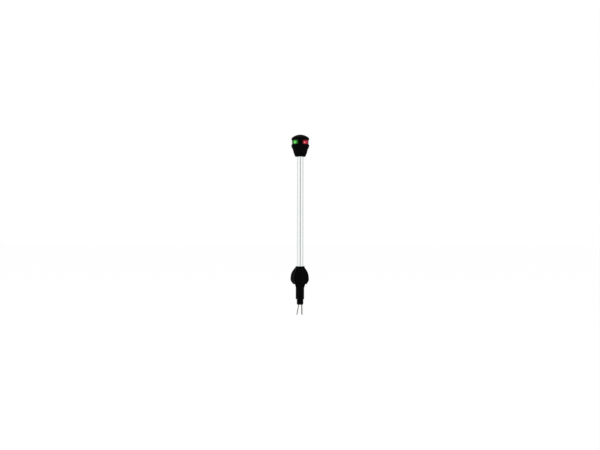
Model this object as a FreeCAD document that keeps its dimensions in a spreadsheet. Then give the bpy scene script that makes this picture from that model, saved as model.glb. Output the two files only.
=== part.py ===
"""Plug-in bow navigation light on a half-inch pole, with a locking collar that slides and turns on the pole.

Millimetres, +Z up the pole. The origin is on the pole's axis at the top of the plug stem, where the stem
meets the seal. Dead ahead is -Y, the starboard (green) side is -X and the port (red) side is +X. A bearing is
an angle from dead ahead, positive towards port.
"""

import FreeCAD, Part
import os
import re
from math import cos, radians, sin, tan

import Sketcher

Vector = FreeCAD.Vector

SIZES = {
    # pole
    "pole_diameter": 12.7,
    "pole_wall": 1.2,
    "pole_fit": 0.02,
    "pole_reach": 257.2,
    "pole_depth_in_head": 13.3,
    "pole_depth_in_plug": 14.0,
    # running clearance of the collar's bushing, and the smallest gap between fixed pieces
    "running_gap": 0.1,
    "seat_gap": 0.02,
    # head housing
    "housing_height": 24.0,
    "bowl_height": 14.7,
    "bowl_bottom_diameter": 20.0,
    "bowl_top_diameter": 29.8,
    "bowl_bulge_radius": 52.0,
    "bowl_rounding": 1.5,
    "flange_root_diameter": 30.2,
    "flange_diameter": 35.7,
    "flange_bulge_radius": 16.0,
    "flange_top_slope": 1.8,
    "flange_lip": 0.65,
    "socket_floor": 2.5,
    "board_parts_space": 3.8,
    "board_ledge_width": 1.4,
    "cavity_diameter": 25.2,
    # lenses, gaskets and light shield
    "lens_diameter": 32.6,
    "lens_wall": 2.0,
    "lens_height": 8.1,
    "lens_start_bearing": 16.0,
    "lens_end_bearing": 117.0,
    "gasket_thickness": 1.0,
    "shield_floor": 1.0,
    "shield_web": 2.0,
    "front_bar_depth": 8.1,
    "rear_block_depth": 2.6,
    "rear_block_angle": 88.0,
    # cap
    "cap_lip": 0.5,
    "cap_height": 11.3,
    "cap_rim_height": 3.5,
    "cap_crown_radius": 25.4,
    "cap_shoulder": 1.5,
    "cap_bottom_chamfer": 0.6,
    "cap_roof": 2.5,
    # long screws that hold cap, shield and board to the housing
    "screw_circle": 20.0,
    "rear_screw_bearing": 145.0,
    "screw_diameter": 2.2,
    "screw_hole_gap": 0.15,
    "screw_head_diameter": 4.0,
    "screw_head_height": 1.3,
    "screw_head_depth": 1.9,
    "screw_recess": 0.7,
    "screw_bite": 8.0,
    "screw_column_diameter": 4.6,
    # driver board
    "board_thickness": 1.2,
    "board_edge_gap": 0.2,
    "inductor_diameter": 5.0,
    "inductor_height": 3.0,
    "capacitor_diameter": 4.0,
    "capacitor_height": 3.4,
    "rectifier_length": 4.6,
    "rectifier_width": 3.6,
    "rectifier_height": 1.7,
    "resistor_length": 2.0,
    "resistor_width": 1.25,
    "resistor_height": 0.6,
    "resistor_pitch": 2.2,
    "can_chamfer": 0.4,
    "tall_part_offset": 6.2,
    "tall_part_setback": 3.0,
    "rectifier_setback": 4.6,
    "resistor_setback": 4.0,
    # lamps
    "lamp_bearing": 56.0,
    "lamp_offset": 4.5,
    "reflector_back": 5.0,
    "reflector_height": 6.2,
    "led_board_width": 9.0,
    "led_board_height": 5.8,
    "led_board_thickness": 1.0,
    "led_width": 3.2,
    "led_thickness": 0.8,
    "led_dome_diameter": 2.6,
    "header_pin_diameter": 0.6,
    "header_pin_pitch": 2.54,
    "diffuser_inner_diameter": 22.0,
    "diffuser_wall": 1.0,
    "diffuser_ridge": 0.5,
    "diffuser_height": 6.6,
    "diffuser_margin": 2.0,
    # wires, grommet and seal in the socket
    "wire_diameter": 1.6,
    "wire_spacing": 4.8,
    "wire_bend_radius": 8.0,
    "grommet_diameter": 8.4,
    "grommet_lip_diameter": 10.8,
    "grommet_lip": 0.8,
    "socket_seal_section": 1.5,
    "socket_seal_height": 4.5,
    # set screws
    "set_screw_diameter": 3.0,
    "set_screw_inner_radius": 5.4,
    "neck_screw_length": 6.6,
    "neck_screw_height": 8.0,
    "plug_screw_length": 2.8,
    "plug_screw_depth": 7.0,
    "hex_socket": 1.5,
    "hex_socket_depth": 1.6,
    # plug
    "stem_diameter": 17.2,
    "stem_length": 23.0,
    "key_flat": 8.0,
    "plug_core_diameter": 16.0,
    "seal_height": 6.5,
    "seal_top_diameter": 21.0,
    "plug_flange_diameter": 20.8,
    "plug_flange_thickness": 3.0,
    "plug_neck_diameter": 16.4,
    "plug_neck_top": 22.0,
    "wire_passage_diameter": 10.0,
    "carrier_diameter": 13.0,
    "carrier_length": 11.1,
    "carrier_rounding": 1.8,
    "spigot_diameter": 11.0,
    "spigot_length": 6.0,
    # contact prongs: how far they reach out, and each one's thickness, place, straight run and lean
    "prong_reach": 20.1,
    "prong_top": 3.5,
    "starboard_prong_diameter": 1.6,
    "starboard_prong_offset": -3.0,
    "starboard_prong_straight": 3.0,
    "starboard_prong_lean_angle": 11.0,
    "port_prong_diameter": 2.2,
    "port_prong_offset": 3.35,
    "port_prong_straight": 2.0,
    "port_prong_lean_angle": 1.3,
    "prong_bend_radius": 8.0,
    "sleeve_wall": 0.35,
    "sleeve_length": 6.0,
    # locking collar, bushing and clip
    "collar_height": 34.9,
    "collar_neck_diameter": 18.0,
    "collar_neck_chamfer": 0.5,
    "collar_lid": 3.7,
    "collar_shoulder_height": 22.0,
    "collar_shoulder_diameter": 35.9,
    "collar_cone_angle": 38.0,
    "collar_shoulder_rounding": 25.0,
    "collar_crest_height": 7.6,
    "collar_crest_diameter": 38.6,
    "collar_crest_rounding": 8.5,
    "collar_foot_diameter": 28.0,
    "flute_count": 7,
    "flute_land_angle": 1.5,
    "flute_radius_ratio": 2.0,
    "lug_count": 3,
    "lug_angle": 30.0,
    "lug_depth": 0.8,
    "lug_gap": 0.4,
    "lug_thickness": 2.5,
    "lug_lift": 0.5,
    "bushing_wall": 0.95,
    "bushing_flange_diameter": 21.0,
    "bushing_flange_thickness": 1.2,
    "clip_thickness": 0.8,
    "clip_groove_depth": 0.5,
    "clip_gap": 0.68,
    "clip_mouth_angle": 24.0,
}

# Places and sizes worked out from the sheet, as expression texts
POLE_RADIUS = "pole_diameter / 2"
SOCKET_RADIUS = "(pole_diameter / 2 + pole_fit)"
POLE_BOTTOM = "(-pole_depth_in_plug)"
POLE_TOP = "(pole_reach + pole_depth_in_head)"
HEAD_BOTTOM = "pole_reach"
LENS_BOTTOM = "(pole_reach + housing_height)"
LENS_TOP = "(pole_reach + housing_height + lens_height)"
LENS_OUTER = "lens_diameter / 2"
LENS_INNER = "(lens_diameter / 2 - lens_wall)"
SOCKET_TOP = f"({POLE_TOP} + socket_floor)"
BOARD_TOP = f"({LENS_BOTTOM} - board_parts_space)"
BOARD_BOTTOM = f"({BOARD_TOP} - board_thickness)"
CAVITY_RADIUS = "cavity_diameter / 2"
SHIELD_FLOOR_TOP = f"({LENS_BOTTOM} + shield_floor)"
CAP_TOP = f"({LENS_TOP} + cap_height)"
SCREW_HOLE = "(screw_diameter / 2 + screw_hole_gap)"
SCREW_RADIUS = "screw_circle / 2"
SCREW_HEAD_SEAT = f"({CAP_TOP} - screw_head_depth - cap_crown_radius"
SCREW_HEAD_SEAT += f" + sqrt(cap_crown_radius ^ 2 - ({SCREW_RADIUS}) ^ 2))"
SCREW_END = f"({BOARD_BOTTOM} - screw_bite)"
SCREW_BEARINGS = {"front": "0", "port": "rear_screw_bearing", "starboard": "(-rear_screw_bearing)"}
SET_SCREW_HOLE = "set_screw_diameter / 2 + seat_gap"
NECK_SCREW_HEIGHT = "(pole_reach + neck_screw_height)"
STEM_RADIUS = "stem_diameter / 2"
STEM_BOTTOM = "(-stem_length)"
SPIGOT_TOP = "(spigot_length - stem_length)"
CARRIER_BOTTOM = "(-stem_length - carrier_length)"
PLUG_FLANGE_TOP = "(seal_height + plug_flange_thickness)"
COLLAR_BOTTOM = "seal_height"
COLLAR_TOP = "(seal_height + collar_height)"
BUSHING_INNER = "(pole_diameter / 2 + running_gap)"
BUSHING_OUTER = f"({BUSHING_INNER} + bushing_wall)"
BUSHING_FLANGE_TOP = "(plug_neck_top + bushing_flange_thickness)"
BUSHING_TOP = f"({COLLAR_TOP} - collar_lid - running_gap)"
CLIP_TOP = "(plug_neck_top - running_gap)"
CLIP_BOTTOM = f"({CLIP_TOP} - clip_thickness)"
COLLAR_MOUTH = "(plug_flange_diameter / 2 + lug_gap + lug_depth)"
CLIP_GROOVE = f"({COLLAR_MOUTH} + clip_groove_depth)"
SIDES = {"starboard": -1, "port": 1}

doc = FreeCAD.newDocument("navigation_light")
sheet = doc.addObject("Spreadsheet::Sheet", "Sizes")
for row, (alias, size) in enumerate(SIZES.items(), start=1):
    sheet.set(f"A{row}", alias)
    sheet.set(f"B{row}", str(size))
    sheet.setAlias(f"B{row}", alias)
doc.recompute()

NODES = []


# ---------------------------------------------------------------- expressions, sketches and features


def linked(text):
    """The expression with each size's name pointed at the sheet."""
    return re.sub(r"[a-z_]{3,}", lambda m: f"Sizes.{m[0]}" if m[0] in SIZES else m[0], str(text))


def value(text):
    return float(sheet.evalExpression(linked(text)))


def bind(feature, **properties):
    """Ties properties of a feature to expressions. A double underscore in a name stands for a dot."""
    for name, text in properties.items():
        feature.setExpression(name.replace("__", "."), linked(text))


def node(feature, label):
    """Marks a finished object as a sub-part with its own label."""
    feature.Label = label
    NODES.append(feature)
    return feature


def new_body(name):
    return doc.addObject("PartDesign::Body", name)


def new_sketch(body, name, plane="XY_Plane", lift="0"):
    """A sketch on one of the body's own origin planes, lifted along the plane's normal."""
    sketch = body.newObject("Sketcher::SketchObject", name)
    support = next(f for f in body.Origin.OriginFeatures if f.Role == plane)
    sketch.AttachmentSupport = [(support, "")]
    sketch.MapMode = "FlatFace"
    bind(sketch, AttachmentOffset__Base__z=lift)
    return sketch


def pin_point(sketch, geometry, end, x, y):
    for kind, text in (("DistanceX", x), ("DistanceY", y)):
        index = sketch.addConstraint(Sketcher.Constraint(kind, -1, 1, geometry, end, value(text)))
        sketch.setExpression(f"Constraints[{index}]", linked(text))


def arc_between(start, end, radius):
    """The short arc from start to end. It bulges to the right of its travel where the radius is positive."""
    chord = end - start
    across = Vector(chord.y, -chord.x, 0).normalize()
    rise = (radius**2 - (chord.Length / 2) ** 2) ** 0.5
    side = 1 if radius > 0 else -1
    centre = start + chord / 2 - across * rise * side
    middle = centre + across * abs(radius) * side
    return Part.Arc(start, middle, end)


def outline(sketch, points):
    """A closed outline of (x, y) points, or (x, y, bulge radius) where an arc leads to the next point."""
    places = [Vector(value(p[0]), value(p[1]), 0) for p in points]
    edges = []
    for i, point in enumerate(points):
        start, end = places[i], places[(i + 1) % len(points)]
        if len(point) == 3:
            curve = arc_between(start, end, value(point[2]))
        else:
            curve = Part.LineSegment(start, end)
        edges.append(sketch.addGeometry(curve, False))
    for i, point in enumerate(points):
        here, after = edges[i], edges[(i + 1) % len(points)]
        sketch.addConstraint(Sketcher.Constraint("Coincident", *near_end(sketch, here, places, i + 1),
                                                 *near_end(sketch, after, places, i + 1)))
    for i, point in enumerate(points):
        pin_point(sketch, *near_end(sketch, edges[i], places, i), point[0], point[1])
        if len(point) == 3:
            index = sketch.addConstraint(Sketcher.Constraint("Radius", edges[i], abs(value(point[2]))))
            sketch.setExpression(f"Constraints[{index}]", linked(f"abs({point[2]})"))


def near_end(sketch, edge, places, i):
    """The edge and whichever of its ends lies on place i: a sketch turns each arc to run anticlockwise."""
    target = places[i % len(places)]
    ends = {end: (sketch.getPoint(edge, end) - target).Length for end in (1, 2)}
    return edge, min(ends, key=ends.get)


def circle(sketch, x, y, radius):
    curve = Part.Circle(Vector(value(x), value(y), 0), Vector(0, 0, 1), value(radius))
    ring = sketch.addGeometry(curve, False)
    pin_point(sketch, ring, 3, x, y)
    index = sketch.addConstraint(Sketcher.Constraint("Radius", ring, value(radius)))
    sketch.setExpression(f"Constraints[{index}]", linked(radius))


def revolve(body, name, points, plane="XZ_Plane", angle="360"):
    """Turns an outline about Z, to both sides of its plane."""
    sketch = new_sketch(body, name + "_outline", plane)
    outline(sketch, points)
    feature = body.newObject("PartDesign::Revolution", name)
    feature.Profile = sketch
    feature.ReferenceAxis = (sketch, ["V_Axis"])
    feature.Midplane = True
    bind(feature, Angle=angle)
    return feature


def raise_from(body, name, draw, bottom, height):
    """Pads what draw puts in the sketch, upwards from the bottom level."""
    sketch = new_sketch(body, name + "_plan", lift=bottom)
    draw(sketch)
    feature = body.newObject("PartDesign::Pad", name)
    feature.Profile = sketch
    bind(feature, Length=height)
    return feature


def cut_up(body, name, draw, bottom, height):
    """Pockets what draw puts in the sketch, upwards from the bottom level."""
    sketch = new_sketch(body, name + "_plan", lift=bottom)
    draw(sketch)
    feature = body.newObject("PartDesign::Pocket", name)
    feature.Profile = sketch
    feature.Reversed = True
    bind(feature, Length=height)
    return feature


def cut_to_rear(body, name, height, radius, length):
    """A round hole from the pole's axis towards the rear, at a level."""
    sketch = new_sketch(body, name + "_hole", "XZ_Plane")
    circle(sketch, "0", height, radius)
    feature = body.newObject("PartDesign::Pocket", name)
    feature.Profile = sketch
    bind(feature, Length=length)
    return feature


def same(a, b):
    return abs(a - b) < 1e-4


def round_edges(body, name, radius, *places):
    """Fillets the circular edges that pass each place, given as (radius, height) texts."""
    doc.recompute()
    base = body.Tip
    wanted = []
    for i, edge in enumerate(base.Shape.Edges, start=1):
        curve = edge.Curve
        if isinstance(curve, Part.Circle):
            here = (curve.Radius, curve.Center.z)
            if any(same(here[0], value(r)) and same(here[1], value(z)) for r, z in places):
                wanted.append(f"Edge{i}")
    feature = body.newObject("PartDesign::Fillet", name)
    feature.Base = (base, wanted)
    bind(feature, Radius=radius)
    return feature


def at_bearing(bearing, distance):
    """The x and y of a point at a bearing and a distance from the axis."""
    return f"(sin({bearing}) * {distance})", f"(-cos({bearing}) * {distance})"


def turn_to(feature, bearing):
    """Turns an object made along +X about Z so that it faces a bearing."""
    bind(feature, Placement__Rotation__Angle=f"{bearing} - 90")


def ring(label, inner, outer, bottom, height):
    body = new_body(label)

    def plan(sketch):
        circle(sketch, "0", "0", outer)
        circle(sketch, "0", "0", inner)

    raise_from(body, label + "_ring", plan, bottom, height)
    return node(body, label)


def screw_circles(radius):
    def plan(sketch):
        for bearing in SCREW_BEARINGS.values():
            circle(sketch, *at_bearing(bearing, SCREW_RADIUS), radius)

    return plan


def rounded_path(points, radii):
    """Straight runs between the points, joined by tangent arcs: one radius for each corner."""
    edges = []
    last = points[0]
    for before, corner, after, radius in zip(points, points[1:], points[2:], radii):
        into = (corner - before).normalize()
        out = (after - corner).normalize()
        half_turn = into.getAngle(out) / 2
        start = corner - into * radius * tan(half_turn)
        end = corner + out * radius * tan(half_turn)
        inward = (out - into).normalize()
        middle = corner + inward * (radius / cos(half_turn) - radius)
        edges.append(Part.LineSegment(last, start).toShape())
        edges.append(Part.Arc(start, middle, end).toShape())
        last = end
    edges.append(Part.LineSegment(last, points[-1]).toShape())
    return Part.Wire(edges)


def swept_rod(path, radius):
    """A round rod along a path."""
    start = path.OrderedEdges[0]
    heading = start.tangentAt(start.FirstParameter)
    section = Part.Wire(Part.makeCircle(radius, start.valueAt(start.FirstParameter), heading))
    return path.makePipeShell([section], True, True)


def shaped(label, shape):
    feature = doc.addObject("Part::Feature", label)
    feature.Shape = shape
    return feature


# ---------------------------------------------------------------- pole and wires


def make_pole():
    body = new_body("pole_tube")

    def plan(sketch):
        circle(sketch, "0", "0", POLE_RADIUS)
        circle(sketch, "0", "0", f"{POLE_RADIUS} - pole_wall")

    raise_from(body, "pole_wall_ring", plan, POLE_BOTTOM, f"{POLE_TOP} - {POLE_BOTTOM}")
    cut_to_rear(body, "neck_screw_entry", NECK_SCREW_HEIGHT, SET_SCREW_HOLE, "pole_diameter")
    cut_to_rear(body, "plug_screw_entry", "-plug_screw_depth", SET_SCREW_HOLE, "pole_diameter")
    return node(body, "pole_tube")


def make_wire(side):
    """One insulated conductor, from its prong up inside the pole to the underside of the main board."""
    sign = SIDES[side]
    low = value(f"{side}_prong_offset")
    high = sign * value("wire_spacing") / 2
    start = value(f"{SPIGOT_TOP} + prong_top")
    end = value(BOARD_BOTTOM)
    drift = value("sleeve_length")
    points = [Vector(low, 0, start), Vector(low, 0, start + drift), Vector(high, 0, start + 2 * drift),
              Vector(high, 0, end)]
    bends = [value("wire_bend_radius")] * 2
    rod = swept_rod(rounded_path(points, bends), value("wire_diameter") / 2)
    return node(shaped(f"{side}_wire", rod), f"{side}_wire")


# ---------------------------------------------------------------- head


def make_housing():
    """Tapered bowl with the pole's socket below and the driver's cavity above."""
    body = new_body("head_housing")
    bowl_top = "(pole_reach + bowl_height)"
    flange_widest = f"({LENS_BOTTOM} - flange_top_slope)"
    groove_bottom = f"({LENS_BOTTOM} - gasket_thickness)"
    ledge = f"({CAVITY_RADIUS} - board_ledge_width)"
    revolve(body, "housing_shell", [
        (SOCKET_RADIUS, HEAD_BOTTOM),
        ("bowl_bottom_diameter / 2", HEAD_BOTTOM, "bowl_bulge_radius"),
        ("bowl_top_diameter / 2", bowl_top),
        ("flange_root_diameter / 2", bowl_top, "flange_bulge_radius"),
        ("flange_diameter / 2", flange_widest),
        (f"{LENS_OUTER} + flange_lip", LENS_BOTTOM),
        (LENS_OUTER, LENS_BOTTOM),
        (LENS_OUTER, groove_bottom),
        (LENS_INNER, groove_bottom),
        (LENS_INNER, LENS_BOTTOM),
        (CAVITY_RADIUS, LENS_BOTTOM),
        (CAVITY_RADIUS, BOARD_BOTTOM),
        (ledge, BOARD_BOTTOM),
        (ledge, SOCKET_TOP),
        ("grommet_diameter / 2", SOCKET_TOP),
        ("grommet_diameter / 2", POLE_TOP),
        (SOCKET_RADIUS, POLE_TOP),
    ])
    round_edges(body, "bowl_bottom_rounding", "bowl_rounding", ("bowl_bottom_diameter / 2", HEAD_BOTTOM))
    raise_from(body, "screw_bosses", screw_circles("screw_column_diameter / 2"), SOCKET_TOP,
               f"{BOARD_BOTTOM} - {SOCKET_TOP}")
    cut_up(body, "pilot_holes", screw_circles("screw_diameter / 2 + seat_gap"), SCREW_END, "screw_bite")
    sketch = new_sketch(body, "seal_groove_outline", "XZ_Plane")
    half = "(socket_seal_section / 2 + seat_gap)"
    low, high = (f"pole_reach + socket_seal_height {sign} {half}" for sign in "-+")
    floor = f"{SOCKET_RADIUS} + socket_seal_section + seat_gap"
    outline(sketch, [(POLE_RADIUS, low), (floor, low), (floor, high), (POLE_RADIUS, high)])
    groove = body.newObject("PartDesign::Groove", "seal_groove")
    groove.Profile = sketch
    groove.ReferenceAxis = (sketch, ["V_Axis"])
    groove.Angle = 360
    cut_to_rear(body, "neck_screw_hole", NECK_SCREW_HEIGHT, SET_SCREW_HOLE, "flange_diameter")
    return node(body, "head_housing")


def make_socket_seal():
    """O-ring squeezed between the pole and the socket's groove."""
    seal = doc.addObject("Part::Torus", "socket_seal")
    bind(seal, Radius1=f"{POLE_RADIUS} + seat_gap + socket_seal_section / 2",
         Radius2="socket_seal_section / 2", Placement__Base__z="pole_reach + socket_seal_height")
    return node(seal, "socket_seal")


def make_grommet():
    """Rubber grommet in the socket's floor, with a hole for each wire."""
    body = new_body("wire_grommet")
    radius = "grommet_diameter / 2 - seat_gap"
    revolve(body, "grommet_shape", [
        ("0", POLE_TOP),
        (radius, POLE_TOP),
        (radius, SOCKET_TOP),
        ("grommet_lip_diameter / 2", SOCKET_TOP),
        ("grommet_lip_diameter / 2", f"{SOCKET_TOP} + grommet_lip"),
        ("0", f"{SOCKET_TOP} + grommet_lip"),
    ])

    def plan(sketch):
        for sign in SIDES.values():
            circle(sketch, f"{sign} * wire_spacing / 2", "0", "wire_diameter / 2 + seat_gap")

    cut_up(body, "wire_holes", plan, POLE_TOP, "socket_floor + grommet_lip")
    return node(body, "wire_grommet")


def make_gaskets():
    for label, bottom in (("lower_lens_gasket", f"{LENS_BOTTOM} - gasket_thickness"),
                          ("upper_lens_gasket", LENS_TOP)):
        ring(label, f"{LENS_INNER} + seat_gap", f"{LENS_OUTER} - seat_gap", bottom, "gasket_thickness")


def make_lens(side):
    body = new_body(f"{side}_lens")
    revolve(body, f"{side}_lens_wall", [
        (LENS_INNER, LENS_BOTTOM),
        (LENS_OUTER, LENS_BOTTOM),
        (LENS_OUTER, LENS_TOP),
        (LENS_INNER, LENS_TOP),
    ], angle="lens_end_bearing - lens_start_bearing")
    turn_to(body, f"{SIDES[side]} * (lens_start_bearing + lens_end_bearing) / 2")
    return node(body, f"{side}_lens")


def make_diffuser(side):
    """Clear inner lens with level ridges, standing on the shield's floor."""
    body = new_body(f"{side}_diffuser")
    ridges = 5
    inner = "diffuser_inner_diameter / 2"
    valley = f"({inner} + diffuser_wall)"
    points = [(inner, SHIELD_FLOOR_TOP)]
    for i in range(2 * ridges + 1):
        radius = f"{valley} + {i % 2} * diffuser_ridge"
        points.append((radius, f"{SHIELD_FLOOR_TOP} + diffuser_height * {i / ridges / 2}"))
    points.append((inner, f"{SHIELD_FLOOR_TOP} + diffuser_height"))
    spread = "lens_end_bearing - lens_start_bearing - 2 * diffuser_margin"
    revolve(body, f"{side}_ridges", points, angle=spread)
    turn_to(body, f"{SIDES[side]} * (lens_start_bearing + lens_end_bearing) / 2")
    return node(body, f"{side}_diffuser")


def make_light_shield():
    """Black frame that parts the two colours: front bar, centre web, opaque rear wall and screw columns."""
    body = new_body("light_shield")

    def sector(name, inner, outer, angle):
        corners = [(inner, LENS_BOTTOM), (outer, LENS_BOTTOM), (outer, LENS_TOP), (inner, LENS_TOP)]
        revolve(body, name, corners, "YZ_Plane", angle)

    def floor(sketch):
        circle(sketch, "0", "0", f"{LENS_INNER} - seat_gap")

    def web(sketch):
        half = "shield_web / 2"
        outline(sketch, [(f"-{half}", f"-{LENS_INNER}"), (half, f"-{LENS_INNER}"), (half, LENS_INNER),
                         (f"-{half}", LENS_INNER)])

    def pins(sketch):
        for side in SIDES:
            for x, y in header_pin_places(side):
                circle(sketch, x, y, "header_pin_diameter / 2 + screw_hole_gap")

    raise_from(body, "shield_floor", floor, LENS_BOTTOM, "shield_floor")
    sector("front_bar", f"-{LENS_OUTER} + front_bar_depth", f"-{LENS_OUTER}", "2 * lens_start_bearing")
    sector("rear_wall", LENS_INNER, LENS_OUTER, "360 - 2 * lens_end_bearing")
    sector("rear_block", f"{LENS_INNER} - rear_block_depth", f"{LENS_INNER}", "rear_block_angle")
    raise_from(body, "centre_web", web, LENS_BOTTOM, "lens_height")
    raise_from(body, "screw_columns", screw_circles("screw_column_diameter / 2"), BOARD_TOP,
               f"{LENS_TOP} - {BOARD_TOP}")
    cut_up(body, "screw_holes", screw_circles(SCREW_HOLE), BOARD_TOP, f"{LENS_TOP} - {BOARD_TOP}")
    cut_up(body, "pin_holes", pins, LENS_BOTTOM, "shield_floor")
    return node(body, "light_shield")


def make_cap():
    body = new_body("head_cap")
    foot = f"({LENS_OUTER} + cap_lip)"
    rim = f"({foot} + cap_bottom_chamfer)"
    shoulder = f"({rim} - cap_shoulder)"
    crown_drop = "(cap_crown_radius - sqrt(cap_crown_radius ^ 2 - ({r}) ^ 2))"
    shoulder_height = f"({CAP_TOP} - {crown_drop.format(r=shoulder)})"
    inner_crown = "(cap_crown_radius - cap_roof)"
    groove_top = f"({LENS_TOP} + gasket_thickness)"
    spring = f"({CAP_TOP} - cap_crown_radius + sqrt({inner_crown} ^ 2 - ({CAVITY_RADIUS}) ^ 2))"
    revolve(body, "cap_shell", [
        (CAVITY_RADIUS, LENS_TOP),
        (LENS_INNER, LENS_TOP),
        (LENS_INNER, groove_top),
        (LENS_OUTER, groove_top),
        (LENS_OUTER, LENS_TOP),
        (foot, LENS_TOP),
        (rim, f"{LENS_TOP} + cap_bottom_chamfer"),
        (rim, f"{LENS_TOP} + cap_rim_height", "cap_shoulder * 2"),
        (shoulder, shoulder_height, "cap_crown_radius"),
        ("0", CAP_TOP),
        ("0", f"{CAP_TOP} - cap_roof", "-cap_crown_radius + cap_roof"),
        (CAVITY_RADIUS, spring),
    ])
    raise_from(body, "cap_bosses", screw_circles("screw_column_diameter / 2"), LENS_TOP,
               f"{SCREW_HEAD_SEAT} - {LENS_TOP}")
    cut_up(body, "counterbores", screw_circles("screw_head_diameter / 2 + screw_hole_gap"), SCREW_HEAD_SEAT,
           "cap_height")
    cut_up(body, "cap_screw_holes", screw_circles(SCREW_HOLE), LENS_TOP, "cap_height")
    return node(body, "head_cap")


def make_screw(position, bearing):
    """One long cross-recess screw, its head in the cap and its end in the housing."""
    body = new_body(f"{position}_cap_screw")
    shank = "screw_diameter / 2"
    head_top = f"({SCREW_HEAD_SEAT} + screw_head_height)"
    revolve(body, f"{position}_screw_shape", [
        ("0", SCREW_END),
        (f"{shank} * 0.4", SCREW_END),
        (shank, f"{SCREW_END} + screw_diameter"),
        (shank, SCREW_HEAD_SEAT),
        ("screw_head_diameter / 2", SCREW_HEAD_SEAT),
        ("screw_head_diameter / 2", f"{head_top} - screw_head_height / 3"),
        ("screw_head_diameter / 2 - screw_head_height / 3", head_top),
        ("0", head_top),
    ])
    wide, narrow = "screw_diameter / 2", "screw_diameter / 8"
    corners = [(wide, narrow), (narrow, narrow), (narrow, wide)]
    cross = []
    for sx, sy, order in ((1, 1, 1), (-1, 1, -1), (-1, -1, 1), (1, -1, -1)):
        cross += [(f"{sx} * {x}", f"{sy} * {y}") for x, y in corners[::order]]
    cut_up(body, f"{position}_screw_cross", lambda sketch: outline(sketch, cross),
           f"{head_top} - screw_recess", "screw_recess")
    x, y = at_bearing(bearing, SCREW_RADIUS)
    bind(body, Placement__Base__x=x, Placement__Base__y=y)
    return body


def make_cap_screws():
    screws = doc.addObject("Part::Compound", "cap_screws")
    screws.Links = [make_screw(position, bearing) for position, bearing in SCREW_BEARINGS.items()]
    return node(screws, "cap_screws")


def make_set_screw(label, height, length):
    """Hexagon-socket set screw that lies towards the rear, through the pole's wall."""
    barrel = doc.addObject("Part::Cylinder", f"{label}_barrel")
    bind(barrel, Radius="set_screw_diameter / 2", Height=length)
    socket = doc.addObject("Part::Prism", f"{label}_socket")
    socket.Polygon = 6
    bind(socket, Circumradius="hex_socket / sqrt(3)", Height="hex_socket_depth",
         Placement__Base__z=f"{length} - hex_socket_depth")
    screw = doc.addObject("Part::Cut", label)
    screw.Base = barrel
    screw.Tool = socket
    screw.Placement = FreeCAD.Placement(Vector(0, 0, 0), FreeCAD.Rotation(Vector(1, 0, 0), -90))
    bind(screw, Placement__Base__y="set_screw_inner_radius", Placement__Base__z=height)
    return node(screw, label)


# ---------------------------------------------------------------- driver board and lamps


def make_main_board():
    body = new_body("main_board")

    def plan(sketch):
        circle(sketch, "0", "0", f"{CAVITY_RADIUS} - board_edge_gap")
        for bearing in SCREW_BEARINGS.values():
            circle(sketch, *at_bearing(bearing, SCREW_RADIUS), SCREW_HOLE)

    raise_from(body, "board_plate", plan, BOARD_BOTTOM, "board_thickness")
    return node(body, "main_board")


def make_board_parts():
    """What stands on the main board."""
    for part, side in (("inductor", -1), ("capacitor", 1)):
        can = new_body(f"driver_{part}")
        radius, height = f"{part}_diameter / 2", f"{part}_height"
        rim = f"({radius} - can_chamfer)"
        revolve(can, f"{part}_can", [
            ("0", "0"), (radius, "0"), (radius, f"{height} - can_chamfer"), (rim, height), ("0", height),
        ])
        bind(can, Placement__Base__x=f"{side} * tall_part_offset", Placement__Base__y="tall_part_setback",
             Placement__Base__z=BOARD_TOP)
        node(can, f"driver_{part}")
    rectifier = doc.addObject("Part::Box", "driver_rectifier")
    bind(rectifier, Length="rectifier_length", Width="rectifier_width", Height="rectifier_height",
         Placement__Base__x="-rectifier_length / 2", Placement__Base__y="rectifier_setback",
         Placement__Base__z=BOARD_TOP)
    node(rectifier, "driver_rectifier")
    chips = []
    for i in range(3):
        chip = doc.addObject("Part::Box", f"resistor_{i + 1}")
        bind(chip, Length="resistor_width", Width="resistor_length", Height="resistor_height",
             Placement__Base__x=f"{i - 1} * resistor_pitch - resistor_width / 2",
             Placement__Base__y="-resistor_setback", Placement__Base__z=BOARD_TOP)
        chips.append(chip)
    resistors = doc.addObject("Part::Compound", "driver_resistors")
    resistors.Links = chips
    node(resistors, "driver_resistors")


def make_reflector(side):
    """White block behind each lamp: its slanted face carries the lamp's board."""
    sign = SIDES[side]
    body = new_body(f"{side}_reflector")
    edge = "(shield_web / 2)"
    back = "reflector_back"
    front_y = f"({edge} * sin(lamp_bearing) - lamp_offset) / cos(lamp_bearing)"
    back_x = f"(lamp_offset + {back} * cos(lamp_bearing)) / sin(lamp_bearing)"
    inner_x = f"{sign} * {edge}"

    def plan(sketch):
        outline(sketch, [(inner_x, front_y), (f"{sign} * {back_x}", back), (inner_x, back)])

    raise_from(body, f"{side}_block", plan, SHIELD_FLOOR_TOP, "reflector_height")
    return node(body, f"{side}_reflector")


def make_led_board(side):
    body = new_body(f"{side}_led_board")

    def plan(sketch):
        near, far = "lamp_offset", "(lamp_offset + led_board_thickness)"
        half = "led_board_width / 2"
        outline(sketch, [(near, f"-{half}"), (far, f"-{half}"), (far, half), (near, half)])

    raise_from(body, f"{side}_led_plate", plan, SHIELD_FLOOR_TOP, "led_board_height")
    turn_to(body, f"{SIDES[side]} * lamp_bearing")
    return node(body, f"{side}_led_board")


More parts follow.
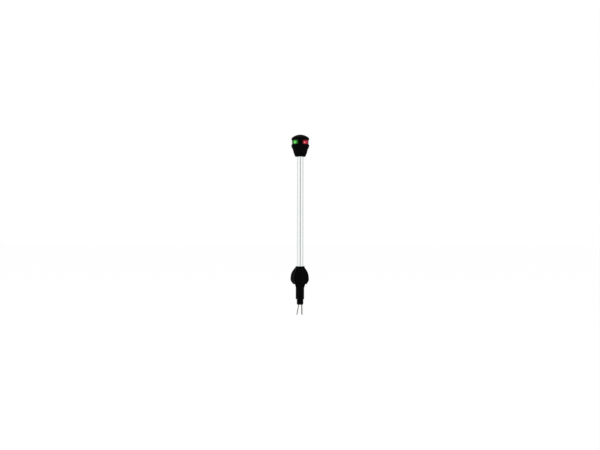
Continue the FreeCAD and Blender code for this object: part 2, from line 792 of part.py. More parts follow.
def make_led(side):
    """Square package with a small dome, on the outer face of its board."""
    face = "(lamp_offset + led_board_thickness)"
    middle = f"({LENS_BOTTOM} + lens_height / 2)"
    package = doc.addObject("Part::Box", f"{side}_led_package")
    bind(package, Length="led_thickness", Width="led_width", Height="led_width", Placement__Base__x=face,
         Placement__Base__y="-led_width / 2", Placement__Base__z=f"{middle} - led_width / 2")
    dome = doc.addObject("Part::Sphere", f"{side}_led_dome")
    dome.Angle1 = 0
    dome.Placement.Rotation = FreeCAD.Rotation(Vector(0, 1, 0), 90)
    bind(dome, Radius="led_dome_diameter / 2", Placement__Base__x=f"{face} + led_thickness",
         Placement__Base__z=middle)
    led = doc.addObject("Part::Fuse", f"{side}_led")
    led.Base = package
    led.Tool = dome
    turn_to(led, f"{SIDES[side]} * lamp_bearing")
    return node(led, f"{side}_led")


def header_pin_places(side):
    """Two pins under the edge of each lamp board, from the main board up through the shield's floor."""
    middle = "(lamp_offset + led_board_thickness / 2)"
    bearing = f"({SIDES[side]} * lamp_bearing)"
    x, y = at_bearing(bearing, middle)
    places = []
    for step in (-0.5, 0.5):
        shift = f"{step} * header_pin_pitch"
        places.append((f"({x} + {shift} * cos({bearing}))", f"({y} + {shift} * sin({bearing}))"))
    return places


def make_header_pins():
    pins = []
    for side in SIDES:
        for i, (x, y) in enumerate(header_pin_places(side), start=1):
            pin = doc.addObject("Part::Cylinder", f"{side}_header_pin_{i}")
            bind(pin, Radius="header_pin_diameter / 2", Height=f"{SHIELD_FLOOR_TOP} - {BOARD_TOP}",
                 Placement__Base__x=x, Placement__Base__y=y, Placement__Base__z=BOARD_TOP)
            pins.append(pin)
    group = doc.addObject("Part::Compound", "header_pins")
    group.Links = pins
    return node(group, "header_pins")


# ---------------------------------------------------------------- plug


def make_plug_body():
    """Stem with a keying flat, core under the seal, flange and neck. The pole stands in it."""
    body = new_body("plug_body")
    counterbore = "(spigot_diameter / 2 + seat_gap)"
    revolve(body, "plug_shape", [
        (counterbore, STEM_BOTTOM),
        (STEM_RADIUS, STEM_BOTTOM),
        (STEM_RADIUS, "0"),
        ("plug_core_diameter / 2", "0"),
        ("plug_core_diameter / 2", "seal_height"),
        ("plug_flange_diameter / 2", "seal_height"),
        ("plug_flange_diameter / 2", PLUG_FLANGE_TOP),
        ("plug_neck_diameter / 2", PLUG_FLANGE_TOP),
        ("plug_neck_diameter / 2", "plug_neck_top"),
        (SOCKET_RADIUS, "plug_neck_top"),
        (SOCKET_RADIUS, POLE_BOTTOM),
        ("wire_passage_diameter / 2", POLE_BOTTOM),
        ("wire_passage_diameter / 2", SPIGOT_TOP),
        (counterbore, SPIGOT_TOP),
    ])

    def flat(sketch):
        far = "stem_diameter"
        outline(sketch, [("key_flat", f"-{far}"), (far, f"-{far}"), (far, far), ("key_flat", far)])

    cut_up(body, "keying_flat", flat, STEM_BOTTOM, "stem_length")
    cut_to_rear(body, "plug_screw_hole", "-plug_screw_depth", SET_SCREW_HOLE, "stem_diameter")
    return node(body, "plug_body")


def make_base_seal():
    """Tapered rubber ring that seals the deck base when the plug is pushed home."""
    body = new_body("base_seal")
    revolve(body, "seal_taper", [
        ("plug_core_diameter / 2 + seat_gap", "0"),
        (STEM_RADIUS, "0"),
        ("seal_top_diameter / 2", "seal_height"),
        ("plug_core_diameter / 2 + seat_gap", "seal_height"),
    ])
    return node(body, "base_seal")


def make_pin_carrier():
    body = new_body("pin_carrier")
    revolve(body, "carrier_shape", [
        ("0", CARRIER_BOTTOM),
        ("carrier_diameter / 2", CARRIER_BOTTOM),
        ("carrier_diameter / 2", STEM_BOTTOM),
        ("spigot_diameter / 2", STEM_BOTTOM),
        ("spigot_diameter / 2", SPIGOT_TOP),
        ("0", SPIGOT_TOP),
    ])
    round_edges(body, "carrier_end_rounding", "carrier_rounding", ("carrier_diameter / 2", CARRIER_BOTTOM))

    def plan(sketch):
        for side in SIDES:
            circle(sketch, f"{side}_prong_offset", "0", f"{side}_prong_diameter / 2 + seat_gap")

    cut_up(body, "prong_holes", plan, CARRIER_BOTTOM, "carrier_length + spigot_length")
    return node(body, "pin_carrier")


def make_prong(side):
    """Round contact prong: straight through its carrier, then leaning outwards below it."""
    x = value(f"{side}_prong_offset")
    diameter = value(f"{side}_prong_diameter")
    top = value(f"{SPIGOT_TOP} + prong_top")
    mouth = value(CARRIER_BOTTOM)
    lean = radians(value(f"{side}_prong_lean_angle"))
    bend = mouth - value(f"{side}_prong_straight")
    end = mouth - value("prong_reach")
    tip = Vector(x + SIDES[side] * (bend - end) * tan(lean), 0, end)
    path = rounded_path([Vector(x, 0, top), Vector(x, 0, bend), tip], [value("prong_bend_radius")])
    rod = swept_rod(path, diameter / 2)
    lowest = [edge for edge in rod.Edges if edge.BoundBox.ZMax < end + diameter]
    rod = rod.makeFillet(diameter * 0.3, lowest)
    return node(shaped(f"{side}_prong", rod), f"{side}_prong")


def make_joint_sleeves():
    """Insulating sleeves over the joint of each wire with its prong."""
    sleeves = []
    for side in SIDES:
        inner = f"max(wire_diameter; {side}_prong_diameter) / 2 + seat_gap"
        outside = doc.addObject("Part::Cylinder", f"{side}_sleeve_outside")
        inside = doc.addObject("Part::Cylinder", f"{side}_sleeve_bore")
        bind(outside, Radius=f"{inner} + sleeve_wall", Height="sleeve_length")
        bind(inside, Radius=inner, Height="sleeve_length")
        sleeve = doc.addObject("Part::Cut", f"{side}_sleeve")
        sleeve.Base = outside
        sleeve.Tool = inside
        bind(sleeve, Placement__Base__x=f"{side}_prong_offset",
             Placement__Base__z=f"{SPIGOT_TOP} + prong_top - sleeve_length / 2")
        sleeves.append(sleeve)
    group = doc.addObject("Part::Compound", "joint_sleeves")
    group.Links = sleeves
    return node(group, "joint_sleeves")


# ---------------------------------------------------------------- locking collar


def make_bushing():
    """Flanged nylon bushing that runs on the pole and carries the collar."""
    body = new_body("collar_bushing")
    revolve(body, "bushing_shape", [
        (BUSHING_INNER, "plug_neck_top"),
        ("bushing_flange_diameter / 2", "plug_neck_top"),
        ("bushing_flange_diameter / 2", BUSHING_FLANGE_TOP),
        (BUSHING_OUTER, BUSHING_FLANGE_TOP),
        (BUSHING_OUTER, BUSHING_TOP),
        (BUSHING_INNER, BUSHING_TOP),
    ])
    return node(body, "collar_bushing")


def make_clip():
    """Open ring in the collar's groove, under the bushing's flange."""
    body = new_body("bushing_clip")
    inner = "(plug_neck_diameter / 2 + clip_gap)"
    outer = f"({CLIP_GROOVE} - seat_gap)"
    revolve(body, "clip_ring", [
        (inner, CLIP_BOTTOM),
        (outer, CLIP_BOTTOM),
        (outer, CLIP_TOP),
        (inner, CLIP_TOP),
    ], "YZ_Plane", "360 - clip_mouth_angle")
    return node(body, "bushing_clip")


def collar_side():
    """Corners of the collar's outer side from the neck down to the foot, as (radius, height) texts."""
    shoulder = ("collar_shoulder_diameter / 2", "(seal_height + collar_shoulder_height)")
    fall = "((collar_shoulder_diameter - collar_neck_diameter) / 2 / tan(collar_cone_angle))"
    return [
        ("collar_neck_diameter / 2", f"{shoulder[1]} + {fall}"),
        shoulder,
        ("collar_crest_diameter / 2", "(seal_height + collar_crest_height)"),
        ("collar_foot_diameter / 2", COLLAR_BOTTOM),
    ]


def flute_cutters():
    """Tapered bars that follow the collar's side, one for each scallop, as wide as the collar is there."""
    corners = [Vector(value(r), 0, value(z)) for r, z in collar_side()]
    corners[0] += (corners[0] - corners[1]).normalize() * value("collar_neck_chamfer")
    corners[-1] += (corners[-1] - corners[-2]).normalize() * value("collar_neck_chamfer")
    side = rounded_path(corners, [value("collar_shoulder_rounding"), value("collar_crest_rounding")])
    half_angle = radians(180 / value("flute_count") - value("flute_land_angle") / 2)
    places = side.discretize(Number=16)
    rings = []
    for i, place in enumerate(places):
        heading = places[min(i + 1, len(places) - 1)] - places[max(i - 1, 0)]
        rings.append(flute_ring(place, heading.normalize(), half_angle, value("flute_radius_ratio")))
    bar = Part.makeLoft(rings, True, False)
    step = 360 / value("flute_count")
    bars = []
    for i in range(round(value("flute_count"))):
        turned = bar.copy()
        turned.rotate(Vector(0, 0, 0), Vector(0, 0, 1), i * step)
        bars.append(turned)
    return shaped("flute_cutters", Part.makeCompound(bars))


def flute_ring(place, heading, half_angle, roundness):
    """The bar's section at a place on the collar's side: its depth leaves the lands between the scallops."""
    width = place.x * sin(half_angle)
    radius = place.x * roundness
    outwards = Vector(-heading.z, 0, heading.x)
    depth = width**2 / 2 * (1 / radius + outwards.x / place.x)
    return Part.Wire(Part.makeCircle(radius, place + outwards * (radius - depth), heading))


def make_collar():
    """Onion-shaped collar: scalloped outside, cavity with bayonet lugs, bore for the bushing."""
    neck, shoulder, crest, foot = collar_side()
    roof = f"({BUSHING_FLANGE_TOP} + running_gap)"
    bore = f"({BUSHING_OUTER} + running_gap)"
    stop = f"({COLLAR_TOP} - collar_lid)"
    blank = new_body("collar_blank")
    revolve(blank, "collar_turning", [
        (COLLAR_MOUTH, COLLAR_BOTTOM),
        foot,
        crest,
        shoulder,
        neck,
        ("collar_neck_diameter / 2", COLLAR_TOP),
        (f"{POLE_RADIUS} + 3 * running_gap", COLLAR_TOP),
        (f"{POLE_RADIUS} + 3 * running_gap", stop),
        (bore, stop),
        (bore, roof),
        (COLLAR_MOUTH, roof),
        (COLLAR_MOUTH, f"{CLIP_TOP} + seat_gap"),
        (CLIP_GROOVE, f"{CLIP_TOP} + seat_gap"),
        (CLIP_GROOVE, f"{CLIP_BOTTOM} - seat_gap"),
        (COLLAR_MOUTH, f"{CLIP_BOTTOM} - seat_gap"),
    ])
    round_edges(blank, "shoulder_rounding", "collar_shoulder_rounding", shoulder)
    round_edges(blank, "crest_rounding", "collar_crest_rounding", crest)
    scalloped = doc.addObject("Part::Cut", "scalloped_collar")
    scalloped.Base = blank
    scalloped.Tool = flute_cutters()

    trim = new_body("collar_trim")
    revolve(trim, "neck_ring", [
        (f"{POLE_RADIUS} + 3 * running_gap", stop),
        ("collar_neck_diameter / 2", stop),
        ("collar_neck_diameter / 2", f"{COLLAR_TOP} - collar_neck_chamfer"),
        ("collar_neck_diameter / 2 - collar_neck_chamfer", COLLAR_TOP),
        (f"{POLE_RADIUS} + 3 * running_gap", COLLAR_TOP),
    ])
    lug_bottom = f"({COLLAR_BOTTOM} + lug_lift)"
    lugs = []
    for i in range(round(value("lug_count"))):
        lug = new_body(f"bayonet_lug_{i + 1}")
        revolve(lug, f"lug_{i + 1}", [
            (f"{COLLAR_MOUTH} - lug_depth", lug_bottom),
            (f"{COLLAR_MOUTH} + clip_groove_depth", lug_bottom),
            (f"{COLLAR_MOUTH} + clip_groove_depth", f"{lug_bottom} + lug_thickness"),
            (f"{COLLAR_MOUTH} - lug_depth", f"{lug_bottom} + lug_thickness"),
        ], angle="lug_angle")
        bind(lug, Placement__Rotation__Angle=f"{i} * 360 / lug_count - 90")
        lugs.append(lug)
    collar = doc.addObject("Part::MultiFuse", "locking_collar")
    collar.Shapes = [scalloped, trim] + lugs
    return node(collar, "locking_collar")


# ---------------------------------------------------------------- build, check and write


def check_document():
    for feature in doc.Objects:
        if {"Invalid", "Error"} & set(feature.State):
            raise RuntimeError(f"{feature.Name} failed: {feature.State}")
    for part in NODES:
        if part.Shape.isNull() or not part.Shape.isValid() or part.Shape.Volume <= 0:
            raise RuntimeError(f"{part.Label} has no sound shape")


def main():
    make_pole()
    for side in SIDES:
        make_wire(side)
        make_lens(side)
        make_diffuser(side)
        make_reflector(side)
        make_led_board(side)
        make_led(side)
        make_prong(side)
    make_housing()
    make_socket_seal()
    make_grommet()
    make_gaskets()
    make_light_shield()
    make_cap()
    make_cap_screws()
    make_set_screw("neck_screw", NECK_SCREW_HEIGHT, "neck_screw_length")
    make_main_board()
    make_board_parts()
    make_header_pins()
    make_plug_body()
    make_set_screw("plug_screw", "-plug_screw_depth", "plug_screw_length")
    make_base_seal()
    make_pin_carrier()
    make_joint_sleeves()
    make_bushing()
    make_clip()
    make_collar()
    doc.recompute()
    check_document()
    os.makedirs("parts", exist_ok=True)
    for part in NODES:
        part.Shape.exportStep(f"parts/{part.Label}.step")
        box = part.Shape.BoundBox
        print(f"{part.Label}: {len(part.Shape.Solids)} solid, {part.Shape.Volume:.1f} mm3, "
              f"z {box.ZMin:.2f} to {box.ZMax:.2f}")


main()
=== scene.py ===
"""Plug-in bow navigation light: the finish of every part, the lit lamps, the studio and the camera.

Metres, +Z up the pole. Dead ahead is -Y, the starboard (green) side is -X and the port (red) side is +X.
A bearing is an angle from dead ahead in degrees, positive towards port.
"""

import math

import bpy
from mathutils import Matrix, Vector


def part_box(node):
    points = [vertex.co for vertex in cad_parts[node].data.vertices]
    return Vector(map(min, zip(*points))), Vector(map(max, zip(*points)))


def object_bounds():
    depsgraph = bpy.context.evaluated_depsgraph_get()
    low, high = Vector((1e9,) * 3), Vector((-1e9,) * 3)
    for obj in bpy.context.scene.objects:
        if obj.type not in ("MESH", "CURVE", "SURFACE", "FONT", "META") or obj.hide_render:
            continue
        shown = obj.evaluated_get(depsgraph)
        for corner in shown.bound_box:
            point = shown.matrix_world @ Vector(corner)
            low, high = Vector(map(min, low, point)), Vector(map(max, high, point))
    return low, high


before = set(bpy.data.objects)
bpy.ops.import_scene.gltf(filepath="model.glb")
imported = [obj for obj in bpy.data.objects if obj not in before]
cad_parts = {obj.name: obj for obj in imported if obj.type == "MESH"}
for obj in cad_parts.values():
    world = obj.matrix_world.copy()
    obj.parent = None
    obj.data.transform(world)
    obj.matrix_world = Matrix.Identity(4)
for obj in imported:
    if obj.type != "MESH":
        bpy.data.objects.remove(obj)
cad_low, cad_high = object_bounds()

MM = 0.001
CENTRE = (cad_low + cad_high) / 2

# camera: level with the middle of the light
LENS = 50.0
SENSOR = 36.0
CAMERA_DISTANCE = 1.642
CAMERA_LEFT = 0.33 * MM
CAMERA_DROP = 0.5 * MM
CAMERA_ROLL = 0.09

# studio lamps
ROOM_LIGHT = 0.55
SOFTBOX_BEARING = 49.0
SOFTBOX_DISTANCE = 1.9
SOFTBOX_WIDTH = 1.7
SOFTBOX_HEIGHT = 2.6
SOFTBOX_ENERGY = 17.0
OVERHEAD_AHEAD = 0.4
OVERHEAD_LIFT = 1.6
OVERHEAD_SIDE = 1.6
OVERHEAD_ENERGY = 14.0

# grey boards round the light, their feet along the floor, and the floor
FLAG_DISTANCE = 2.4
FLAG_HEIGHT = 4.0
FOOT_START = 30 * MM
FOOT_LIFT = 0.5 * MM
FLOOR_SIDE = 12.0
FLOOR_WHITENESS = 0.98

# lenses: their outer radius, and how far below their middle the painted glow and the painted hot spot lie
LENS_LOW, LENS_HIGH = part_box("starboard_lens")
LENS_RADIUS = -LENS_LOW.x
LENS_MIDDLE = (LENS_LOW.z + LENS_HIGH.z) / 2
GLOW_DROP = 0.3 * MM
GLOW_HEIGHT = 2.9 * MM
HOT_DROP = 1.3 * MM
HOT_WIDTH = 1.5 * MM
HOT_COLOUR = "#ffd0c4"

# the part of a pattern's 0 to 1 that carries its detail
PATTERN_LOW = 0.3
PATTERN_HIGH = 0.7


# ---------------------------------------------------------------- colours and nodes


def linear(hex_colour):
    """An sRGB hex colour as linear RGBA."""
    channels = [int(hex_colour[i : i + 2], 16) / 255 for i in (1, 3, 5)]
    return [c / 12.92 if c <= 0.04045 else ((c + 0.055) / 1.055) ** 2.4 for c in channels] + [1.0]


def per_metre(millimetres):
    """The scale that gives a pattern features of this size."""
    return 1000 / millimetres


def add(tree, kind, inputs=None, **settings):
    """Adds a node with its settings. Each input takes a value, or an output socket to link to."""
    node = tree.nodes.new(kind)
    for name, setting in settings.items():
        setattr(node, name, setting)
    for name, source in (inputs or {}).items():
        if isinstance(source, bpy.types.NodeSocket):
            tree.links.new(source, node.inputs[name])
        else:
            node.inputs[name].default_value = source
    return node


def start_material(name, **sockets):
    """A material with one principled shader. Returns it, its tree, its shader and its Object coordinates."""
    material = bpy.data.materials.new(name)
    material.use_nodes = True
    tree = material.node_tree
    shader = tree.nodes["Principled BSDF"]
    for socket, setting in sockets.items():
        shader.inputs[socket.replace("_", " ")].default_value = setting
    place = add(tree, "ShaderNodeTexCoord").outputs["Object"]
    return material, tree, shader, place


def grain(tree, shader, place, size, detail=3.0, fineness=0.5, along=1.0, socket="Base Color", **effects):
    """Covers a surface with a random pattern whose features have this size in millimetres.

    along is how often it repeats up the pole, as a share of how often it does across. effects are what it
    does: colours is a pair of hex colours that it mixes in the given socket, roughness a pair of values
    between which it runs, and relief the height in metres of its bumps. With relief, edge is the radius in
    metres to which sharp edges are softened.
    """
    inputs = {0: place, 1: (1.0, 1.0, along)}
    stretched = add(tree, "ShaderNodeVectorMath", inputs, operation="MULTIPLY").outputs[0]
    inputs = {"Vector": stretched, "Scale": per_metre(size), "Detail": detail, "Roughness": fineness}
    pattern = add(tree, "ShaderNodeTexNoise", inputs).outputs["Fac"]
    window = {"Value": pattern, "From Min": PATTERN_LOW, "From Max": PATTERN_HIGH}
    if "colours" in effects:
        dark, light = effects["colours"]
        share = add(tree, "ShaderNodeMapRange", window).outputs["Result"]
        inputs = {0: share, 6: linear(dark), 7: linear(light)}
        mixed = add(tree, "ShaderNodeMix", inputs, data_type="RGBA").outputs[2]
        tree.links.new(mixed, shader.inputs[socket])
    if "roughness" in effects:
        low, high = effects["roughness"]
        spread = add(tree, "ShaderNodeMapRange", {**window, "To Min": low, "To Max": high}).outputs["Result"]
        tree.links.new(spread, shader.inputs["Roughness"])
    if "relief" in effects:
        inputs = {"Height": pattern, "Distance": effects["relief"], "Strength": 1.0}
        if "edge" in effects:
            radius = {"Radius": effects["edge"]}
            inputs["Normal"] = add(tree, "ShaderNodeBevel", radius, samples=4).outputs["Normal"]
        tree.links.new(add(tree, "ShaderNodeBump", inputs).outputs["Normal"], shader.inputs["Normal"])


# ---------------------------------------------------------------- materials


def moulded_black(name, colours, size, relief, roughness, specular):
    """A black moulded plastic with the fine grain of its mould and slightly softened edges."""
    material, tree, shader, place = start_material(name, Specular_IOR_Level=specular, IOR=1.5)
    grain(tree, shader, place, 9.0, detail=2.0, colours=colours)
    finish = {"roughness": roughness, "relief": relief, "edge": 0.3 * MM}
    grain(tree, shader, place, size, detail=4.0, fineness=0.6, **finish)
    return material


def weatherproof_housing_plastic():
    """UV-stable ASA from a spark-eroded mould: near black, with a fine even grain that dulls reflections."""
    colours = ("#030304", "#060607")
    roughness = (0.42, 0.6)
    return moulded_black("asa_fine_grain_black", colours, 0.35, 0.012 * MM, roughness, specular=0.018)


def collar_plastic():
    """Glass-filled nylon from a coarser mould: a little duller, so that the scallops read softly."""
    colours = ("#030304", "#050506")
    roughness = (0.45, 0.62)
    return moulded_black("nylon_moulded_black", colours, 0.5, 0.015 * MM, roughness, specular=0.018)


def plug_plastic():
    """Polished-mould nylon for the plug: smooth, with a clearer shine than the collar."""
    colours = ("#030304", "#050506")
    roughness = (0.3, 0.42)
    return moulded_black("nylon_polished_black", colours, 0.25, 0.003 * MM, roughness, specular=0.024)


def seal_rubber():
    """Moulded EPDM: soft black with a faint dusty bloom and no clear shine."""
    colours = ("#050505", "#080808")
    roughness = (0.7, 0.85)
    return moulded_black("epdm_rubber_black", colours, 0.3, 0.01 * MM, roughness, specular=0.024)


def anodised_pole():
    """Bright-dip anodised aluminium tube: near white, with fine lines left along it by drawing."""
    material, tree, shader, place = start_material("aluminium_bright_anodised", Metallic=1.0)
    grain(tree, shader, place, 7.0, along=0.2, colours=("#f6fbf9", "#fafdfc"))
    lines = {"roughness": (0.13, 0.19), "relief": 0.0006 * MM}
    grain(tree, shader, place, 0.45, detail=4.0, fineness=0.65, along=0.01, **lines)
    return material


def bright_metal(name, colours, roughness):
    """A metal piece whose polish varies a little."""
    material, tree, shader, place = start_material(name, Metallic=1.0)
    grain(tree, shader, place, 0.6, colours=colours, roughness=roughness, relief=0.003 * MM)
    return material


def nickel_plating():
    """Nickel plate over brass contacts: a warm light grey with a soft polish."""
    return bright_metal("brass_nickel_plated", ("#5f5d5a", "#6a6864"), (0.25, 0.4))


def stainless_steel():
    """Tumbled stainless: set screws and the spring clip."""
    return bright_metal("stainless_tumbled", ("#b4b5b6", "#c6c7c8"), (0.25, 0.38))


def blackened_steel():
    """Stainless blackened all over: screws that don't stand out from the cap."""
    return bright_metal("stainless_blackened", ("#1c1c1d", "#262628"), (0.35, 0.5))


def painted_light_spot(tree, place, bearing, drop, across, tall):
    """1 at this bearing on a lens, falling off softly within this distance to the sides and up and down: the
    mask of a painted glow or hot spot.
    """
    angle = math.radians(bearing)
    centre = (LENS_RADIUS * math.sin(angle), -LENS_RADIUS * math.cos(angle), LENS_MIDDLE - drop)
    away = add(tree, "ShaderNodeVectorMath", {0: place, 1: centre}, operation="SUBTRACT").outputs[0]
    shares = (1 / across, 1 / across, 1 / tall)
    away = add(tree, "ShaderNodeVectorMath", {0: away, 1: shares}, operation="MULTIPLY").outputs[0]
    square = add(tree, "ShaderNodeVectorMath", {0: away, 1: away}, operation="DOT_PRODUCT").outputs["Value"]
    falling = add(tree, "ShaderNodeMath", {0: square, 1: -1.0}, operation="MULTIPLY").outputs[0]
    return add(tree, "ShaderNodeMath", {0: falling}, operation="EXPONENT").outputs[0]


def lens_with_painted_glow(name, colours, glow_colour, glow_bearing, glow_width, glow_level, hot_bearing, hot_level):
    """Dyed polycarbonate from a polished mould: deep in colour, with painted lamp glow and a painted hot
    spot.
    """
    sockets = {"IOR": 1.45, "Roughness": 0.12, "Specular IOR Level": 0.04, "Transmission Weight": 0.12}
    material, tree, shader, place = start_material(name, **sockets)
    grain(tree, shader, place, 3.0, colours=colours)
    grain(tree, shader, place, 2.0, relief=0.001 * MM)
    # painted light: the lens itself emits its lamp's soft glow and a whitish hot spot
    glow = painted_light_spot(tree, place, glow_bearing, GLOW_DROP, glow_width, GLOW_HEIGHT)
    hot = painted_light_spot(tree, place, hot_bearing, HOT_DROP, HOT_WIDTH, HOT_WIDTH)
    hot = add(tree, "ShaderNodeMath", {0: hot, 1: hot_level}, operation="MULTIPLY").outputs[0]
    inputs = {0: hot, 6: linear(glow_colour), 7: linear(HOT_COLOUR)}
    glow_to_hot = add(tree, "ShaderNodeMix", inputs, data_type="RGBA").outputs[2]
    tree.links.new(glow_to_hot, shader.inputs["Emission Color"])
    inputs = {0: glow, 1: glow_level, 2: hot}
    lit = add(tree, "ShaderNodeMath", inputs, operation="MULTIPLY_ADD").outputs[0]
    tree.links.new(lit, shader.inputs["Emission Strength"])
    return material


def diffuser_with_painted_glow(name, colour, glow_colour):
    """Ribbed polycarbonate between the lamp and the lens: smoky, with a little of the lamp's light painted
    in.
    """
    sockets = {"IOR": 1.58, "Roughness": 0.35, "Transmission Weight": 0.2, "Emission Strength": 0.3}
    material, tree, shader, place = start_material(name, **sockets, Base_Color=linear(colour))
    # painted glow: the diffuser emits light, its colour running in ribs from the lamp's colour to white
    ribs_and_painted_glow = {"colours": (glow_colour, "#ffffff"), "relief": 0.01 * MM}
    grain(tree, shader, place, 0.6, along=0.05, socket="Emission Color", **ribs_and_painted_glow)
    return material


def lit_led(name, colour):
    """A clear dome over lit phosphor."""
    material, tree, shader, place = start_material(name, Base_Color=linear("#f2eccb"), Emission_Strength=4.0)
    phosphor = {"colours": (colour, "#ffffff"), "roughness": (0.15, 0.3)}
    grain(tree, shader, place, 0.2, socket="Emission Color", **phosphor)
    return material


def light_plastic(name, colours, roughness):
    """A plainly moulded plastic or sleeve with a faint cloud in its colour."""
    material, tree, shader, place = start_material(name, Specular_IOR_Level=0.4)
    grain(tree, shader, place, 1.5, colours=colours, roughness=(roughness, roughness + 0.15))
    grain(tree, shader, place, 0.3, relief=0.004 * MM)
    return material


def solder_mask(name, mask, track):
    """Glass-epoxy board under solder mask, with the copper tracks showing as a lighter raised pattern."""
    material, tree, shader, place = start_material(name, Specular_IOR_Level=0.5)
    inputs = {"Vector": place, "Scale": per_metre(2.2), "Randomness": 0.8}
    cells = add(tree, "ShaderNodeTexVoronoi", inputs, distance="CHEBYCHEV", feature="F1").outputs["Distance"]
    tracks = add(tree, "ShaderNodeMath", {0: cells, 1: 0.45}, operation="GREATER_THAN").outputs[0]
    inputs = {0: tracks, 6: linear(mask), 7: linear(track)}
    printed = add(tree, "ShaderNodeMix", inputs, data_type="RGBA").outputs[2]
    tree.links.new(printed, shader.inputs["Base Color"])
    inputs = {"Height": tracks, "Distance": 0.03 * MM, "Strength": 1.0}
    tree.links.new(add(tree, "ShaderNodeBump", inputs).outputs["Normal"], shader.inputs["Normal"])
    grain(tree, shader, place, 0.5, roughness=(0.3, 0.45))
    return material


# name, colours, roughness and nodes of each plainly moulded or sleeved piece
LIGHT_PLASTICS = (
    ("nylon_natural", ("#d6d2c4", "#e2dfd3"), 0.4, ("collar_bushing",)),
    ("abs_bright_white", ("#e6e6e2", "#f2f2ef"), 0.2, ("starboard_reflector", "port_reflector")),
    ("pvc_red", ("#8e1414", "#a01c1a"), 0.35, ("port_wire",)),
    ("pvc_black", ("#101010", "#181818"), 0.35, ("starboard_wire", "joint_sleeves")),
    ("epoxy_black", ("#141415", "#1c1c1e"), 0.45,
     ("driver_inductor", "driver_rectifier", "driver_resistors")),
    ("capacitor_sleeve", ("#8f959b", "#a4aab0"), 0.3, ("driver_capacitor",)),
)


def dress(material, *nodes):
    """Gives CAD nodes their material."""
    for name in nodes:
        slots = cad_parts[name].data.materials
        slots.clear()
        slots.append(material)


def dress_light():
    dress(weatherproof_housing_plastic(), "head_cap", "head_housing", "light_shield")
    dress(collar_plastic(), "locking_collar")
    dress(plug_plastic(), "plug_body", "pin_carrier")
    dress(seal_rubber(), "upper_lens_gasket", "lower_lens_gasket", "wire_grommet", "socket_seal", "base_seal")
    dress(anodised_pole(), "pole_tube")
    dress(nickel_plating(), "starboard_prong", "port_prong", "header_pins")
    dress(blackened_steel(), "cap_screws")
    dress(stainless_steel(), "neck_screw", "plug_screw", "bushing_clip")
    dress_lamps()
    for name, colours, roughness, nodes in LIGHT_PLASTICS:
        dress(light_plastic(name, colours, roughness), *nodes)
    dress(solder_mask("board_white_mask", "#e4e4e0", "#f0f0ee"), "starboard_led_board", "port_led_board")
    dress(solder_mask("board_green_mask", "#0f4a26", "#1d6a3a"), "main_board")


def dress_lamps():
    """The lens, diffuser and LED of each side. The port lens also has a painted hot spot that shows."""
    # the lenses and diffusers glow with painted light; only the LEDs are lamps
    starboard = {"glow_colour": "#7cff6c", "glow_bearing": -40.5, "glow_width": 3.5 * MM, "glow_level": 0.84}
    starboard |= {"hot_bearing": -42.0, "hot_level": 0.08}
    port = {"glow_colour": "#ff2a4c", "glow_bearing": 44.0, "glow_width": 4.9 * MM, "glow_level": 0.67}
    port |= {"hot_bearing": 30.0, "hot_level": 0.7}
    dress(lens_with_painted_glow("polycarbonate_green_painted_glow", ("#083c12", "#0a4a18"), **starboard), "starboard_lens")
    dress(lens_with_painted_glow("polycarbonate_red_painted_glow", ("#380810", "#460a12"), **port), "port_lens")
    dress(diffuser_with_painted_glow("polycarbonate_ribbed_green_painted_glow", "#3c3e3a", "#80ff80"), "starboard_diffuser")
    dress(diffuser_with_painted_glow("polycarbonate_ribbed_red_painted_glow", "#3e3a3a", "#ff8080"), "port_diffuser")
    dress(lit_led("led_phosphor_green", "#a8ffa0"), "starboard_led")
    dress(lit_led("led_phosphor_red", "#ff9080"), "port_led")


# ---------------------------------------------------------------- studio


def aim(obj, place, target):
    obj.location = place
    obj.rotation_euler = (Vector(target) - Vector(place)).to_track_quat("-Z", "Y").to_euler()


def round_the_light(bearing, distance, lift=0.0):
    """A place at this bearing from the front of the light, at its mid-height."""
    angle = math.radians(bearing)
    return CENTRE + Vector((math.sin(angle) * distance, -math.cos(angle) * distance, lift))


def sheet(name, corners):
    """A flat sheet with four corners."""
    mesh = bpy.data.meshes.new(name)
    mesh.from_pydata(corners, [], [(0, 1, 2, 3)])
    obj = bpy.data.objects.new(name, mesh)
    bpy.context.scene.collection.objects.link(obj)
    return obj


def panel(name, width, height):
    """A rectangle across its own Z."""
    x, y = width / 2, height / 2
    return sheet(name, [(-x, -y, 0), (x, -y, 0), (x, y, 0), (-x, y, 0)])


def shown_ray(tree):
    """1 for a ray that shows the background: from the camera, in a reflection or through the lenses."""
    path = add(tree, "ShaderNodeLightPath")
    rays = path.outputs["Is Camera Ray"]
    for name in ("Is Glossy Ray", "Is Transmission Ray"):
        rays = add(tree, "ShaderNodeMath", {0: rays, 1: path.outputs[name]}, operation="MAXIMUM").outputs[0]
    return rays


def light_room():
    world = bpy.data.worlds.new("white_studio")
    world.use_nodes = True
    tree = world.node_tree
    tree.nodes.clear()
    room = add(tree, "ShaderNodeBackground", {"Color": linear("#ffffff"), "Strength": ROOM_LIGHT})
    white = add(tree, "ShaderNodeBackground", {"Color": linear("#ffffff"), "Strength": 1.0})
    mixed = add(tree, "ShaderNodeMixShader", {0: shown_ray(tree), 1: room.outputs[0], 2: white.outputs[0]})
    add(tree, "ShaderNodeOutputWorld", {"Surface": mixed.outputs[0]})
    bpy.context.scene.world = world


def softbox(name, place, width, height, energy):
    lamp = bpy.data.lights.new(name, "AREA")
    lamp.shape = "RECTANGLE"
    lamp.size = width
    lamp.size_y = height
    lamp.energy = energy
    obj = bpy.data.objects.new(name, lamp)
    bpy.context.scene.collection.objects.link(obj)
    obj.visible_glossy = False
    aim(obj, place, CENTRE)


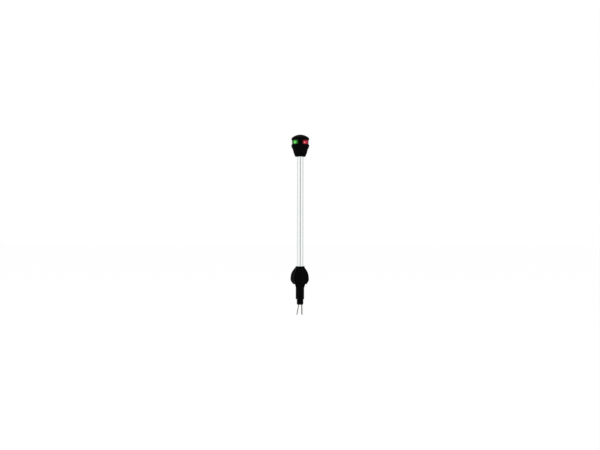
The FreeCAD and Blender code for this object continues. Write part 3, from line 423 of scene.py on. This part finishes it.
def light_studio():
    for name, side in (("softbox_starboard", -1), ("softbox_port", 1)):
        place = round_the_light(side * SOFTBOX_BEARING, SOFTBOX_DISTANCE)
        softbox(name, place, SOFTBOX_WIDTH, SOFTBOX_HEIGHT, SOFTBOX_ENERGY)
    place = round_the_light(0.0, OVERHEAD_AHEAD, OVERHEAD_LIFT)
    softbox("softbox_overhead", place, OVERHEAD_SIDE, OVERHEAD_SIDE, OVERHEAD_ENERGY)


def grey_card(name, level):
    """Grey board that shows at one even level in a reflection."""
    material = bpy.data.materials.new(name)
    material.use_nodes = True
    tree = material.node_tree
    tree.nodes.clear()
    place = add(tree, "ShaderNodeTexCoord").outputs["Object"]
    inputs = {"Vector": place, "Scale": per_metre(20.0), "Detail": 3.0, "Roughness": 0.5}
    fibres = add(tree, "ShaderNodeTexNoise", inputs).outputs["Fac"]
    inputs = {"Value": fibres, "From Min": PATTERN_LOW, "From Max": PATTERN_HIGH}
    inputs |= {"To Min": level * 0.98, "To Max": level * 1.02}
    shade = add(tree, "ShaderNodeMapRange", inputs).outputs["Result"]
    glow = add(tree, "ShaderNodeEmission", {"Color": linear("#ffffff"), "Strength": shade})
    add(tree, "ShaderNodeOutputMaterial", {"Surface": glow.outputs[0]})
    return material


def grey_flag(name, bearing, width, card):
    """A grey board and its foot, which tapers along the floor to the light. Only reflections show them."""
    flag = panel(name, width, FLAG_HEIGHT)
    aim(flag, round_the_light(bearing, FLAG_DISTANCE), CENTRE)
    half_angle = math.atan(width / 2 / FLAG_DISTANCE)
    near, far = FOOT_START, FLAG_DISTANCE / math.cos(half_angle)
    left, right = bearing - math.degrees(half_angle), bearing + math.degrees(half_angle)
    lift = cad_low.z + FOOT_LIFT - CENTRE.z
    corners = ((left, near), (right, near), (right, far), (left, far))
    foot = sheet(name + "_foot", [round_the_light(turn, distance, lift) for turn, distance in corners])
    for board in (flag, foot):
        board.data.materials.append(card)
        board.visible_camera = False
        board.visible_diffuse = False
        board.visible_shadow = False
        board.visible_transmission = False


def grey_flags():
    """The boards ahead and astern draw the dark line down the pole; those at the sides darken its edges."""
    dark = grey_card("grey_card_dark", 0.42)
    grey_flag("flag_ahead", 4.0, 1.55, dark)
    grey_flag("flag_astern", 180.0, 1.5, dark)
    grey_flag("flag_starboard", -116.0, 3.2, grey_card("grey_card_pale", 0.74))
    grey_flag("flag_port", 121.0, 3.0, grey_card("grey_card_middle", 0.64))


def pale_floor():
    """Paper at the tips of the prongs: white with a trace of shadow, and clear from below."""
    floor = panel("studio_floor", FLOOR_SIDE, FLOOR_SIDE)
    floor.location.z = cad_low.z
    material, tree, shader, place = start_material("paper_white", Specular_IOR_Level=0.2)
    fibres = {"colours": ("#f4f4f2", "#f9f9f8"), "roughness": (0.85, 0.95), "relief": 0.02 * MM}
    grain(tree, shader, place, 1.5, detail=4.0, **fibres)
    white = add(tree, "ShaderNodeEmission", {"Color": linear("#ffffff"), "Strength": 1.0})
    inputs = {0: shown_ray(tree), 1: FLOOR_WHITENESS}
    share = add(tree, "ShaderNodeMath", inputs, operation="MULTIPLY").outputs[0]
    above = add(tree, "ShaderNodeMixShader", {0: share, 1: shader.outputs[0], 2: white.outputs[0]})
    below = add(tree, "ShaderNodeBsdfTransparent")
    turned = add(tree, "ShaderNodeNewGeometry").outputs["Backfacing"]
    inputs = {0: turned, 1: above.outputs[0], 2: below.outputs[0]}
    surface = add(tree, "ShaderNodeMixShader", inputs).outputs[0]
    tree.links.new(surface, tree.nodes["Material Output"].inputs["Surface"])
    floor.data.materials.append(material)


def place_camera():
    data = bpy.data.cameras.new("camera")
    data.lens = LENS
    data.sensor_width = SENSOR
    camera = bpy.data.objects.new("camera", data)
    bpy.context.scene.collection.objects.link(camera)
    level = CENTRE.z - CAMERA_DROP
    aim(camera, (-CAMERA_LEFT, -CAMERA_DISTANCE, level), (-CAMERA_LEFT, 0, level))
    camera.rotation_euler.rotate_axis("Z", math.radians(CAMERA_ROLL))
    bpy.context.scene.camera = camera


dress_light()
place_camera()
light_room()
light_studio()
grey_flags()
pale_floor()
bpy.context.scene.view_settings.view_transform = "Standard"
